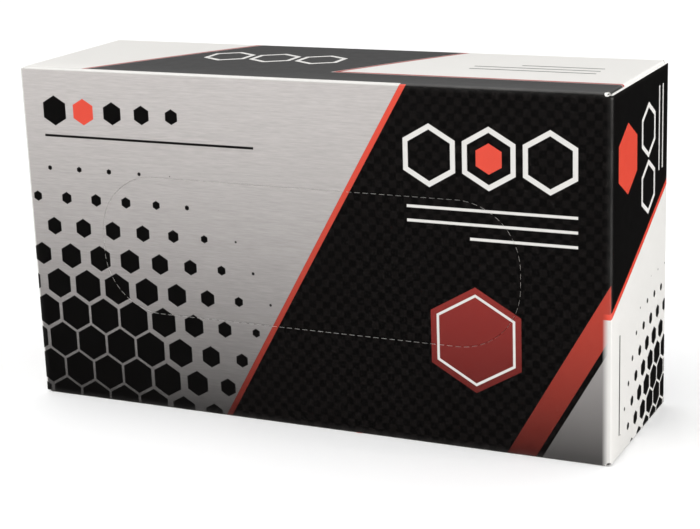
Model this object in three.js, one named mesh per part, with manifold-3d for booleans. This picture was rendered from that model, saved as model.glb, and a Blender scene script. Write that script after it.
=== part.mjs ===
// A closed paperboard carton that dispenses disposable gloves, standing on its long narrow side.
// It is one die-cut blank: each panel and flap carries the fold that hinges it on its parent.
// Millimetres. +X runs along the long side, the front panel faces -Y, and +Z is up.
// The origin is the centre of the face that the carton stands on.
import * as THREE from 'three';
import { mergeVertices } from 'three/addons/utils/BufferGeometryUtils.js';
import Module from 'manifold-3d';

const wasm = await Module();
wasm.setup();

// Outside sizes of the closed carton
const cartonLength = 228;
const cartonHeight = 128;
const cartonDepth = 67;

// The board, and the outside radius of its folds
const boardThickness = 0.6;
const foldRadius = 0.8;

// The perforated tear-out panel in the front face
const tearPanelLength = 165;
const tearPanelHeight = 52.4;
const tearCornerRadius = 23.2;
const tearPanelDrop = 0.8; // its centre lies this far below the front panel's centre
const tearKerf = 0.3; // the slit between it and the front panel

// The flaps that close both ends
const endFlapSetback = 0.8; // from an end flap's cut edges to the carton's outside faces
const innerFlapTipGap = 1.6; // from the inner flap's tip to the inside of the front panel
const dustFlapLength = 48;
const dustFlapSideGap = 1.0; // from a dust flap's sides to the front and back panels
const dustFlapTaper = 5; // how far each side draws in at the tip
const dustFlapTipRadius = 6;

// The seam along the lower back edge
const glueFlapWidth = 15;
const glueFlapEndGap = 3; // from its ends to the ends of the bottom panel
const glueFlapTaper = 6; // how far each end draws in at the tip
const glueFlapTipRadius = 2;
const seamEdgeHeight = 0.5; // from the floor up to the back panel's cut edge

// Straight pieces in a quarter turn of a fold, and in a half of a quarter turn of an outline
const foldSegments = 4;
const outlineSegments = 6;

// Planes that the pieces share. The end flaps lie on each other, the outer one outermost
const halfDepth = cartonDepth / 2;
const outerFlapFace = cartonLength / 2;
const innerFlapFace = outerFlapFace - boardThickness;
const dustFlapFace = innerFlapFace - boardThickness;
const frontPanelEnd = outerFlapFace - foldRadius;
const backPanelEnd = innerFlapFace - foldRadius;
const topPanelEnd = dustFlapFace - foldRadius;
const glueFlapFace = halfDepth - boardThickness;
const tearCentreHeight = cartonHeight / 2 - tearPanelDrop;

// Finishes of the board: silver and white print outside, bare board inside
function boardMaterial(color, roughness) {
  return new THREE.MeshStandardMaterial({ color, roughness, metalness: 0 });
}
const silverPrint = boardMaterial(0xc8c5c2, 0.42);
const whitePrint = boardMaterial(0xe6e4e0, 0.42);
const bareBoard = boardMaterial(0xb9b2a6, 0.85);

const carton = new THREE.Group();

function addPiece(name, geometry, material) {
  const piece = new THREE.Mesh(geometry, material);
  piece.name = name;
  carton.add(piece);
  return piece;
}

function toSolid(geometry) {
  const bare = geometry.clone();
  bare.deleteAttribute('normal');
  bare.deleteAttribute('uv');
  const merged = mergeVertices(bare);
  return new wasm.Manifold(new wasm.Mesh({
    numProp: 3,
    vertProperties: new Float32Array(merged.attributes.position.array),
    triVerts: new Uint32Array(merged.index.array),
  }));
}

function toGeometry(solid) {
  const mesh = solid.getMesh();
  const geometry = new THREE.BufferGeometry();
  geometry.setAttribute('position', new THREE.BufferAttribute(mesh.vertProperties, 3));
  geometry.setIndex(new THREE.BufferAttribute(mesh.triVerts, 1));
  geometry.computeVertexNormals();
  return geometry;
}

// A shape in the local XY plane, made thickness deep along local Z
function slab(shape, thickness) {
  return new THREE.ExtrudeGeometry(shape, {
    depth: thickness,
    bevelEnabled: false,
    curveSegments: outlineSegments,
  });
}

// The section of a panel with the fold that hinges it on its parent. The parent's outside face is
// the line y = 0 and its end is at x = 0. The fold turns from +X to -Y, and the panel runs on down
// to y = -reach, with its outside face on the line x = foldRadius.
function foldedSection(reach) {
  const innerRadius = foldRadius - boardThickness;
  const section = new THREE.Shape();
  section.moveTo(0, 0);
  section.absarc(0, -foldRadius, foldRadius, Math.PI / 2, 0, true);
  section.lineTo(foldRadius, -reach);
  section.lineTo(innerRadius, -reach);
  section.lineTo(innerRadius, -foldRadius);
  section.absarc(0, -foldRadius, innerRadius, 0, Math.PI / 2, false);
  section.closePath();
  return section;
}

// A panel as wide from end to end, which reaches from its parent's outside face to its far end
function foldedPanel(reach, width) {
  const geometry = new THREE.ExtrudeGeometry(foldedSection(reach), {
    depth: width,
    bevelEnabled: false,
    curveSegments: foldSegments / 2,
  });
  return geometry.translate(0, 0, -width / 2);
}

// A panel whose sides draw in towards a tip with round corners
function taperedPanel(reach, width, taper, tipRadius) {
  const root = width / 2;
  const tip = root - taper;
  const outline = new THREE.Shape();
  outline.moveTo(-root, foldRadius);
  outline.lineTo(-root, -foldRadius);
  outline.lineTo(-tip, -reach + tipRadius);
  outline.quadraticCurveTo(-tip, -reach, -tip + tipRadius, -reach);
  outline.lineTo(tip - tipRadius, -reach);
  outline.quadraticCurveTo(tip, -reach, tip, -reach + tipRadius);
  outline.lineTo(root, -foldRadius);
  outline.lineTo(root, foldRadius);
  outline.closePath();
  const cutter = slab(outline, 4 * foldRadius);
  cutter.translate(0, 0, -2 * foldRadius);
  cutter.rotateY(Math.PI / 2);
  return toGeometry(toSolid(foldedPanel(reach, width)).intersect(toSolid(cutter)));
}

// Hinge a folded panel on its parent: along is the way the parent's sheet runs out at its end,
// normal points out of the parent's outside face, and end is where the fold begins on that face
function foldFrom(name, geometry, material, along, normal, end) {
  const acrossWidth = new THREE.Vector3().crossVectors(along, normal);
  const turned = new THREE.Matrix4().makeBasis(along, normal, acrossWidth);
  const piece = addPiece(name, geometry, material);
  piece.quaternion.setFromRotationMatrix(turned);
  piece.position.copy(end);
}

// The outline of the tear-out panel, drawn in by inset. Its corner radius may not pass half of
// its shorter side
function tearOutline(path, inset) {
  const x = tearPanelLength / 2;
  const y = tearPanelHeight / 2;
  const cornerRadius = Math.min(tearCornerRadius, x, y);
  const cornerX = x - cornerRadius;
  const cornerY = y - cornerRadius;
  const arcRadius = cornerRadius - inset;
  const quarter = Math.PI / 2;
  const corners = [[1, -1], [1, 1], [-1, 1], [-1, -1]];
  corners.forEach(([sideX, sideY], index) => {
    const startTurn = (index - 1) * quarter;
    path.absarc(
      sideX * cornerX, tearCentreHeight + sideY * cornerY, arcRadius,
      startTurn, startTurn + quarter, false,
    );
  });
  path.closePath();
  return path;
}

// A flat piece drawn in the front face's own plane, with local Y standing for height
function addFrontPiece(name, shape) {
  const piece = addPiece(name, slab(shape, boardThickness), silverPrint);
  piece.rotation.x = Math.PI / 2;
  piece.position.y = -halfDepth + boardThickness;
}

// Front panel, flat between the folds on its four sides, and the tear-out panel in its opening
const frontOutline = new THREE.Shape();
frontOutline.moveTo(-frontPanelEnd, foldRadius);
frontOutline.lineTo(frontPanelEnd, foldRadius);
frontOutline.lineTo(frontPanelEnd, cartonHeight - foldRadius);
frontOutline.lineTo(-frontPanelEnd, cartonHeight - foldRadius);
frontOutline.closePath();
frontOutline.holes.push(tearOutline(new THREE.Path(), 0));
addFrontPiece('front_panel', frontOutline);
addFrontPiece('tear_panel', tearOutline(new THREE.Shape(), tearKerf));

// Directions out of each face
const up = new THREE.Vector3(0, 0, 1);
const down = new THREE.Vector3(0, 0, -1);
const front = new THREE.Vector3(0, -1, 0);
const back = new THREE.Vector3(0, 1, 0);

// Top panel, folded back from the upper edge of the front panel
foldFrom(
  'top_panel', foldedPanel(cartonDepth - foldRadius, 2 * topPanelEnd), whitePrint,
  up, front, new THREE.Vector3(0, -halfDepth, cartonHeight - foldRadius),
);

// Back panel, folded down from the far edge of the top panel to the cut edge at the seam
foldFrom(
  'back_panel', foldedPanel(cartonHeight - seamEdgeHeight, 2 * backPanelEnd), silverPrint,
  back, up, new THREE.Vector3(0, halfDepth - foldRadius, cartonHeight),
);

// Bottom panel, folded back from the lower edge of the front panel
const glueFoldStart = glueFlapFace - foldRadius;
foldFrom(
  'bottom_panel', foldedPanel(halfDepth + glueFoldStart, 2 * topPanelEnd), whitePrint,
  down, front, new THREE.Vector3(0, -halfDepth, foldRadius),
);

// Glue flap, folded up from the far edge of the bottom panel against the inside of the back panel
foldFrom(
  'glue_flap',
  taperedPanel(
    glueFlapWidth, 2 * (topPanelEnd - glueFlapEndGap), glueFlapTaper, glueFlapTipRadius,
  ),
  bareBoard, back, down, new THREE.Vector3(0, glueFoldStart, 0),
);

// The four flaps that close each end: two dust flaps, the inner flap over them, the outer on top
const endFlapWidth = cartonHeight - 2 * endFlapSetback;
const innerFlapReach = cartonDepth - boardThickness - innerFlapTipGap;
const dustFlapWidth = cartonDepth - 2 * (boardThickness + dustFlapSideGap);

for (const [sideName, side] of [['right', 1], ['left', -1]]) {
  const outward = new THREE.Vector3(side, 0, 0);
  foldFrom(
    `${sideName}_outer_flap`, foldedPanel(cartonDepth - endFlapSetback, endFlapWidth), whitePrint,
    outward, front, new THREE.Vector3(side * frontPanelEnd, -halfDepth, cartonHeight / 2),
  );
  foldFrom(
    `${sideName}_inner_flap`, foldedPanel(innerFlapReach, endFlapWidth), bareBoard,
    outward, back, new THREE.Vector3(side * backPanelEnd, halfDepth, cartonHeight / 2),
  );
  for (const [levelName, normal, height] of [['upper', up, cartonHeight], ['lower', down, 0]]) {
    foldFrom(
      `${sideName}_${levelName}_dust_flap`,
      taperedPanel(dustFlapLength, dustFlapWidth, dustFlapTaper, dustFlapTipRadius),
      bareBoard, outward, normal, new THREE.Vector3(side * topPanelEnd, 0, height),
    );
  }
}

export default carton;
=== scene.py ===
"""Dresses a closed glove dispenser carton: printed board, folds, cut edges and a perforated panel.

Laid out as an add-on and run as a script. Lengths are metres. +X runs along the carton's long
side, the front panel faces -Y and +Z is up.
"""

import math

import bmesh
import bpy
from bpy.props import (
    FloatProperty,
    FloatVectorProperty,
    IntProperty,
    PointerProperty,
)
from mathutils import Matrix, Vector


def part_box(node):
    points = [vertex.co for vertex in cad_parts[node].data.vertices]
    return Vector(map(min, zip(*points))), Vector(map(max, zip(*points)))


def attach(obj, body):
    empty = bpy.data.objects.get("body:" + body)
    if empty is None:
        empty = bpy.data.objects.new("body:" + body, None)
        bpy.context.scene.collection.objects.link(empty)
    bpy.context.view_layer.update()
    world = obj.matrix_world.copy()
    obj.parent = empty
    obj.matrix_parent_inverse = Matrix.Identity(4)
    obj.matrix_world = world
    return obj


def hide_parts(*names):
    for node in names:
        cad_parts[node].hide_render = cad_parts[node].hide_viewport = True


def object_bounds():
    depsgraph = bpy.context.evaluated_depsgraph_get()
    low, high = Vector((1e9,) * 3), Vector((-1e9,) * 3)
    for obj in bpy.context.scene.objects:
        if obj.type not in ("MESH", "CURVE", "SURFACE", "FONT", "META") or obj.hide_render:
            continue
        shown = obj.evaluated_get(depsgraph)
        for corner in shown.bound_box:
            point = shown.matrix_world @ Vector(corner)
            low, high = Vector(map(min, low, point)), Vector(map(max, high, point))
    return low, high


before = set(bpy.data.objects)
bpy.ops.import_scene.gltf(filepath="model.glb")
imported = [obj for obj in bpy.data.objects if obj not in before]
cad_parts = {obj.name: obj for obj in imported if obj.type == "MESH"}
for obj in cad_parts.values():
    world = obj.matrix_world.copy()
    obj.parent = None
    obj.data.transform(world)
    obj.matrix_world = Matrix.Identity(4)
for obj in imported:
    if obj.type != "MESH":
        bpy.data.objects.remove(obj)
CAD_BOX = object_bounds()

bl_info = {
    "name": "Glove dispenser carton",
    "version": (1, 0, 0),
    "blender": (4, 5, 0),
    "location": "3D View > Sidebar > Carton",
    "description": "Printed board, folds, cut edges and a perforated tear-out panel",
    "category": "Mesh",
}

MM = 0.001
QUARTER = math.pi / 2
UP = Vector((0, 0, 1))
DOWN = Vector((0, 0, -1))
FRONT = Vector((0, -1, 0))
BACK = Vector((0, 1, 0))
RIGHT = Vector((1, 0, 0))
LEFT = Vector((-1, 0, 0))

# Sizes that the pieces share, from the frame
LOW, HIGH = CAD_BOX
CENTRE = (LOW + HIGH) / 2
HALF = (HIGH - LOW) / 2
FRONT_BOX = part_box("front_panel")
BOARD = FRONT_BOX[1].y - FRONT_BOX[0].y
FOLD = FRONT_BOX[0].z - LOW.z
TEAR_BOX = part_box("tear_panel")

# Places of the materials on a piece
PRINT, PARENT_PRINT, INSIDE, CUT_EDGE = range(4)

# Places of a Mix node's sockets when it mixes colours
MIX_FACTOR = 0
MIX_UNDER = 6
MIX_OVER = 7
MIX_COLOUR = 2


# Node helpers

def feed(tree, node, inputs):
    """Gives a node its inputs, which are numbers, colours or other nodes' sockets."""
    for key, value in dict(inputs).items():
        if isinstance(value, bpy.types.NodeSocket):
            tree.links.new(value, node.inputs[key])
        else:
            node.inputs[key].default_value = value


def add_node(tree, kind, inputs=(), **settings):
    """A node with its settings and inputs."""
    node = tree.nodes.new(kind)
    for name, value in settings.items():
        setattr(node, name, value)
    feed(tree, node, inputs)
    return node


def maths(tree, operation, *values):
    """The output of a Math node."""
    return add_node(tree, "ShaderNodeMath", enumerate(values), operation=operation).outputs[0]


def clamped(tree, operation, *values):
    """The output of a Math node, kept between 0 and 1."""
    node = add_node(
        tree, "ShaderNodeMath", enumerate(values), operation=operation, use_clamp=True
    )
    return node.outputs[0]


def noise(tree, vector, scale, detail, roughness=0.5):
    """The value of a noise, about 0.5. Scale is in cycles per metre."""
    node = add_node(
        tree, "ShaderNodeTexNoise",
        {"Vector": vector, "Scale": scale, "Detail": detail, "Roughness": roughness},
    )
    return node.outputs[0]


def about_zero(tree, value):
    """A noise's value, moved so that it swings about 0."""
    return maths(tree, "SUBTRACT", value, 0.5)


def layer(tree, mask, under, over):
    """Colour over laid on colour under where mask is 1."""
    node = add_node(tree, "ShaderNodeMix", data_type="RGBA")
    feed(tree, node, {MIX_FACTOR: mask, MIX_UNDER: under, MIX_OVER: over})
    return node.outputs[MIX_COLOUR]


def new_group(name, inputs, outputs):
    """A shader node group: inputs are (name, type, default) and outputs (name, type)."""
    tree = bpy.data.node_groups.new(name, "ShaderNodeTree")
    for label, kind, default in inputs:
        socket = tree.interface.new_socket(label, in_out="INPUT", socket_type=kind)
        if default is not None:
            socket.default_value = default
    for label, kind in outputs:
        tree.interface.new_socket(label, in_out="OUTPUT", socket_type=kind)
    taken = tree.nodes.new("NodeGroupInput").outputs
    given = tree.nodes.new("NodeGroupOutput").inputs
    return tree, taken, given


def use_group(tree, name, inputs=()):
    """The outputs of a group placed in a material or in another group."""
    group = bpy.data.node_groups[name]
    return add_node(tree, "ShaderNodeGroup", inputs, node_tree=group).outputs


# Node groups for the print. Places on a face are in millimetres, Across and Up

NUMBER = "NodeSocketFloat"
VECTOR = "NodeSocketVector"
PLACE = [("Across", NUMBER, 0.0), ("Up", NUMBER, 0.0)]
CENTRED = PLACE + [("Centre Across", NUMBER, 0.0), ("Centre Up", NUMBER, 0.0)]
INK_BLEED = 0.12


def make_ink_group():
    """Turns a distance in millimetres to a shape's outline into the ink of its fill or stroke."""
    tree, taken, given = new_group(
        "Ink", [("Distance", NUMBER, 0.0), ("Stroke", NUMBER, 1.0)],
        [("Fill", NUMBER), ("Outline", NUMBER)],
    )
    fill = maths(tree, "DIVIDE", taken["Distance"], -INK_BLEED)
    tree.links.new(clamped(tree, "ADD", fill, 0.5), given["Fill"])
    inside = maths(tree, "MULTIPLY", taken["Stroke"], 0.5)
    inside = maths(tree, "SUBTRACT", inside, maths(tree, "ABSOLUTE", taken["Distance"]))
    outline = maths(tree, "DIVIDE", inside, INK_BLEED)
    tree.links.new(clamped(tree, "ADD", outline, 0.5), given["Outline"])


def make_line_group():
    """Signed distance from a straight line, whose normal is turned from the Across direction."""
    tree, taken, given = new_group(
        "Line", PLACE + [("Turn", NUMBER, 0.0), ("Offset", NUMBER, 0.0)], [("Distance", NUMBER)]
    )
    across = maths(tree, "MULTIPLY", taken["Across"], maths(tree, "COSINE", taken["Turn"]))
    up = maths(tree, "MULTIPLY", taken["Up"], maths(tree, "SINE", taken["Turn"]))
    distance = maths(tree, "SUBTRACT", maths(tree, "ADD", across, up), taken["Offset"])
    tree.links.new(distance, given["Distance"])


def hexagon_reach(tree, across, up):
    """The inner radius of the upright hexagon, about the origin, that passes through a place."""
    across = maths(tree, "ABSOLUTE", across)
    up = maths(tree, "ABSOLUTE", up)
    slanted = maths(tree, "MULTIPLY", across, math.cos(math.pi / 3))
    slanted = maths(tree, "MULTIPLY_ADD", up, math.sin(math.pi / 3), slanted)
    return maths(tree, "MAXIMUM", across, slanted)


def make_hexagon_group():
    """Signed distance from a hexagon with a point at the top. Radius is its inner radius."""
    tree, taken, given = new_group(
        "Hexagon", CENTRED + [("Radius", NUMBER, 1.0)], [("Distance", NUMBER)]
    )
    across = maths(tree, "SUBTRACT", taken["Across"], taken["Centre Across"])
    up = maths(tree, "SUBTRACT", taken["Up"], taken["Centre Up"])
    reach = hexagon_reach(tree, across, up)
    tree.links.new(maths(tree, "SUBTRACT", reach, taken["Radius"]), given["Distance"])


def make_bar_group():
    """Signed distance from an upright rectangle."""
    tree, taken, given = new_group(
        "Bar", CENTRED + [("Length", NUMBER, 1.0), ("Height", NUMBER, 1.0)],
        [("Distance", NUMBER)],
    )
    sides = []
    for place, size in (("Across", "Length"), ("Up", "Height")):
        away = maths(tree, "SUBTRACT", taken[place], taken["Centre " + place])
        away = maths(tree, "ABSOLUTE", away)
        sides.append(maths(tree, "MULTIPLY_ADD", taken[size], -0.5, away))
    tree.links.new(maths(tree, "MAXIMUM", *sides), given["Distance"])


def make_honeycomb_group():
    """Hexagon cells that shrink with distance from a place, as a halftone does.

    The cells are upright, Pitch apart. They fill their places at the fade's start, but for the
    gap between them, and vanish Fade Reach millimetres away.
    """
    tree, taken, given = new_group(
        "Honeycomb",
        PLACE + [
            ("Pitch", NUMBER, 10.0), ("Gap", NUMBER, 0.6), ("Fade Across", NUMBER, 0.0),
            ("Fade Up", NUMBER, 0.0), ("Fade Reach", NUMBER, 100.0), ("Fade Start", NUMBER, 0.0),
        ],
        [("Distance", NUMBER)],
    )
    row = maths(tree, "MULTIPLY", taken["Pitch"], math.sqrt(3))
    half_pitch = maths(tree, "MULTIPLY", taken["Pitch"], 0.5)
    half_row = maths(tree, "MULTIPLY", row, 0.5)
    lattices = []
    for shift_across, shift_up in ((0.0, 0.0), (half_pitch, half_row)):
        local = []
        for place, shift, period, half in (
            ("Across", shift_across, taken["Pitch"], half_pitch), ("Up", shift_up, row, half_row),
        ):
            moved = maths(tree, "SUBTRACT", taken[place], shift)
            wrapped = maths(tree, "FLOORED_MODULO", maths(tree, "ADD", moved, half), period)
            local.append(maths(tree, "SUBTRACT", wrapped, half))
        squares = [maths(tree, "MULTIPLY", value, value) for value in local]
        lattices.append((local, maths(tree, "ADD", *squares)))
    (first, first_far), (second, second_far) = lattices
    use_second = maths(tree, "LESS_THAN", second_far, first_far)
    cell = []
    for one, other in zip(first, second):
        change = maths(tree, "SUBTRACT", other, one)
        cell.append(maths(tree, "MULTIPLY_ADD", change, use_second, one))
    away = []
    for place, value, fade in (("Across", cell[0], "Fade Across"), ("Up", cell[1], "Fade Up")):
        centre = maths(tree, "SUBTRACT", taken[place], value)
        offset = maths(tree, "SUBTRACT", centre, taken[fade])
        away.append(maths(tree, "MULTIPLY", offset, offset))
    far = maths(tree, "SQRT", maths(tree, "ADD", *away))
    far = maths(tree, "SUBTRACT", far, taken["Fade Start"])
    size = clamped(tree, "SUBTRACT", 1.0, maths(tree, "DIVIDE", far, taken["Fade Reach"]))
    full = maths(tree, "MULTIPLY_ADD", taken["Gap"], -0.5, half_pitch)
    reach = hexagon_reach(tree, *cell)
    radius = maths(tree, "MULTIPLY", full, size)
    tree.links.new(maths(tree, "SUBTRACT", reach, radius), given["Distance"])


def make_brushed_group():
    """Fine streaks along X, as on brushed metal, about a middle value of 1."""
    tree, taken, given = new_group(
        "Brushed Streaks", [("Vector", VECTOR, None)], [("Factor", NUMBER)]
    )
    total = 1.0
    for along, across, strength in ((45.0, 1000.0, 0.26), (170.0, 2600.0, 0.4)):
        stretched = add_node(
            tree, "ShaderNodeMapping", {"Vector": taken["Vector"], "Scale": (along, 1.0, across)}
        ).outputs[0]
        streaks = noise(tree, stretched, scale=1.0, detail=2.0, roughness=0.6)
        total = maths(tree, "MULTIPLY_ADD", about_zero(tree, streaks), strength, total)
    tree.links.new(total, given["Factor"])


def make_checks_group():
    """Fine chequered squares, 0 or 1."""
    tree, taken, given = new_group(
        "Fine Checks", PLACE + [("Square", NUMBER, 2.7)], [("Factor", NUMBER)]
    )
    parity = 0.0
    for place in ("Across", "Up"):
        steps = maths(tree, "FLOOR", maths(tree, "DIVIDE", taken[place], taken["Square"]))
        parity = maths(tree, "ADD", steps, parity)
    tree.links.new(maths(tree, "FLOORED_MODULO", parity, 2.0), given["Factor"])


def make_edge_group():
    """How close a place is to the carton's box edges and corners, as values from 0 to 1."""
    tree, taken, given = new_group(
        "Edge Closeness",
        [("Vector", VECTOR, None), ("Edge Width", NUMBER, 0.002), ("Corner Width", NUMBER, 0.01)],
        [("Edge", NUMBER), ("Corner", NUMBER)],
    )
    centred = add_node(
        tree, "ShaderNodeVectorMath", {0: taken["Vector"], 1: tuple(-CENTRE)}, operation="ADD"
    )
    spread = add_node(tree, "ShaderNodeVectorMath", {0: centred.outputs[0]}, operation="ABSOLUTE")
    depth = add_node(
        tree, "ShaderNodeVectorMath", {0: tuple(HALF), 1: spread.outputs[0]}, operation="SUBTRACT"
    )
    axes = add_node(tree, "ShaderNodeSeparateXYZ", {0: depth.outputs[0]}).outputs
    least = maths(tree, "MINIMUM", axes[0], axes[1])
    most = maths(tree, "MAXIMUM", axes[0], axes[1])
    middle = maths(tree, "MAXIMUM", least, maths(tree, "MINIMUM", most, axes[2]))
    deepest = maths(tree, "MAXIMUM", most, axes[2])
    for distance, name in ((middle, "Edge"), (deepest, "Corner")):
        share = maths(tree, "DIVIDE", distance, taken[name + " Width"])
        tree.links.new(clamped(tree, "SUBTRACT", 1.0, share), given[name])


def make_fold_wear_group():
    """Ink stretched pale along the folds, as wear and as a painted highlight, and rubbed off in
    small marks, most at the corners.
    """
    tree, taken, given = new_group(
        "Fold Wear", [("Vector", VECTOR, None)], [("Stretch And Highlight", NUMBER), ("Rubbed", NUMBER)]
    )
    vector = taken["Vector"]
    corner_reach = 5 * FOLD
    strain_reach = 3.5 * FOLD
    close = use_group(
        tree, "Edge Closeness",
        {"Vector": vector, "Edge Width": FOLD, "Corner Width": corner_reach},
    )
    around = use_group(tree, "Edge Closeness", {"Vector": vector, "Edge Width": strain_reach})
    patches = noise(tree, vector, scale=90.0, detail=3.0)
    # The ink pales on the fold itself, and less and less beside it, as wear and as a painted
    # highlight
    fold_falloff = 1.5
    strain_falloff = 2.0
    strain_share = 0.6
    stretched = maths(tree, "POWER", close["Edge"], fold_falloff)
    strained = maths(tree, "POWER", around["Edge"], strain_falloff)
    stretched = maths(tree, "MULTIPLY_ADD", strained, strain_share, stretched)
    tree.links.new(maths(tree, "MULTIPLY", stretched, patches), given["Stretch And Highlight"])
    # A speck is rubbed off where its noise and the wear add up to more than a threshold
    corner_share = 0.5
    wear_share = 0.4
    threshold = 0.86
    crispness = 10.0
    specks = noise(tree, vector, scale=1700.0, detail=2.0, roughness=0.6)
    worn = maths(tree, "MULTIPLY", close["Edge"], patches)
    worn = maths(tree, "MULTIPLY_ADD", close["Corner"], corner_share, worn)
    level = maths(tree, "MULTIPLY_ADD", worn, wear_share, specks)
    rubbed = maths(tree, "SUBTRACT", level, threshold)
    tree.links.new(clamped(tree, "MULTIPLY", rubbed, crispness), given["Rubbed"])


def make_chip_group():
    """A small ragged patch about a place."""
    tree, taken, given = new_group(
        "Chipped Ink",
        [("Vector", VECTOR, None), ("Centre", VECTOR, None), ("Radius", NUMBER, 0.001)],
        [("Mask", NUMBER)],
    )
    away = add_node(
        tree, "ShaderNodeVectorMath", {0: taken["Vector"], 1: taken["Centre"]},
        operation="DISTANCE",
    ).outputs["Value"]
    share = maths(tree, "DIVIDE", away, taken["Radius"])
    ragged = noise(tree, taken["Vector"], scale=800.0, detail=3.0)
    ragged_radius = maths(tree, "ADD", ragged, 0.5)
    crispness = 6.0
    level = maths(tree, "SUBTRACT", ragged_radius, share)
    tree.links.new(clamped(tree, "MULTIPLY", level, crispness), given["Mask"])


def make_varnish_group():
    """Roughness and surface of varnished board: faint fibres under it and a slow unevenness."""
    tree, taken, given = new_group(
        "Varnished Board", [("Vector", VECTOR, None), ("Roughness", NUMBER, 0.4)],
        [("Roughness", NUMBER), ("Normal", VECTOR)],
    )
    mottle_swing = 0.1
    mottle = about_zero(tree, noise(tree, taken["Vector"], scale=240.0, detail=2.0))
    roughness = maths(tree, "MULTIPLY_ADD", mottle, mottle_swing, taken["Roughness"])
    tree.links.new(roughness, given["Roughness"])
    slow = noise(tree, taken["Vector"], scale=28.0, detail=1.0)
    broad = add_node(
        tree, "ShaderNodeBump", {"Height": slow, "Strength": 1.0, "Distance": 0.12 * MM}
    )
    fibre = noise(tree, taken["Vector"], scale=2200.0, detail=3.0, roughness=0.6)
    fine = add_node(
        tree, "ShaderNodeBump",
        {"Height": fibre, "Strength": 0.35, "Distance": 0.012 * MM, "Normal": broad.outputs[0]},
    )
    tree.links.new(fine.outputs[0], given["Normal"])


def make_fibre_group():
    """Bare board: mixed fibres, with small flecks. Factor is about 1."""
    tree, taken, given = new_group(
        "Board Fibres", [("Vector", VECTOR, None)],
        [("Factor", NUMBER), ("Fleck", NUMBER), ("Normal", VECTOR)],
    )
    contrast = 0.5
    mixed = noise(tree, taken["Vector"], scale=900.0, detail=4.0, roughness=0.7)
    factor = maths(tree, "MULTIPLY_ADD", about_zero(tree, mixed), contrast, 1.0)
    tree.links.new(factor, given["Factor"])
    # A fleck fills a small share of its cell
    fleck_share = 0.13
    cells = add_node(
        tree, "ShaderNodeTexVoronoi",
        {"Vector": taken["Vector"], "Scale": 420.0, "Randomness": 1.0},
    )
    fleck = maths(tree, "LESS_THAN", cells.outputs["Distance"], fleck_share)
    tree.links.new(fleck, given["Fleck"])
    bump = add_node(
        tree, "ShaderNodeBump", {"Height": mixed, "Strength": 0.6, "Distance": 0.03 * MM}
    )
    tree.links.new(bump.outputs[0], given["Normal"])


def make_groups():
    """All node groups, in the order in which they use each other."""
    for make in (
        make_ink_group, make_line_group, make_hexagon_group, make_bar_group, make_honeycomb_group,
        make_brushed_group, make_checks_group, make_edge_group, make_fold_wear_group,
        make_chip_group, make_varnish_group, make_fibre_group,
    ):
        make()


# Materials

# Sizes of a face, and of what is printed on it, in millimetres. Places on a face are given from
# the middle of its length, and from its lower edge, or on the top and bottom from their middle
HALF_LENGTH = HALF.x / MM
HALF_DEPTH = HALF.y / MM
HEIGHT = 2 * HALF.z / MM
KEYLINE = 2.0
TOP_BAND = 15.0
WHITE_FOLD = 0.85
RULE = 1.0
THIN_RULE = 0.9
CELL_STROKE = 1.8
LARGE_CELL = 8.6
SMALL_CELL = 7.6
CELL_CORE = 4.6
RULES_RIGHT_END = 98.0

# The end's black starts at this height at the front, and higher at the back
END_BLACK_LOW = 52.0
END_BLACK_HIGH = 84.0

# Shares of the inks: white is painted darker on the front, as painted shade, and paler on the top,
# as painted light; checks are paler
WHITE_PAINTED_SHADE_SHARE = 0.88
WHITE_PAINTED_LIGHT_SHARE = 1.11
CHECK_LIFT = 2.7

# Wear: colours of the board, with worn ink that the folds also take as a painted highlight, a chip
# at the upper right corner, and at the lower one a scuff painted dark as a shadow
WORN_AND_HIGHLIGHT_INK = (0.66, 0.65, 0.62, 1)
RAW_BOARD = (0.8, 0.79, 0.76, 1)
CHIP_PLACE = (HALF.x - 1.8 * MM, -HALF.y, 2 * HALF.z - 0.3 * MM)
CHIP_RADIUS = 1.1 * MM
PAINTED_SHADOW_BOARD = (0.04, 0.037, 0.034, 1)
SHADOWED_SCUFF_PLACE = (HALF.x - 0.5 * MM, -HALF.y, 0.7 * MM)
SHADOWED_SCUFF_RADIUS = 1.0 * MM


def new_material(name):
    """The empty node tree of a new material, and the place on the carton in metres."""
    material = bpy.data.materials.new(name)
    material.use_nodes = True
    material.node_tree.nodes.clear()
    vector = add_node(material.node_tree, "ShaderNodeTexCoord").outputs["Object"]
    return material.node_tree, vector


def scaled_colour(tree, colour, factor):
    """A colour times a factor that changes over the surface."""
    return add_node(
        tree, "ShaderNodeVectorMath", {0: colour[:3], "Scale": factor}, operation="SCALE"
    ).outputs[0]


def shade_of(colour, factor):
    """A colour made darker or paler all over, with its alpha."""
    return tuple(channel * factor for channel in colour[:3]) + (1,)


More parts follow.
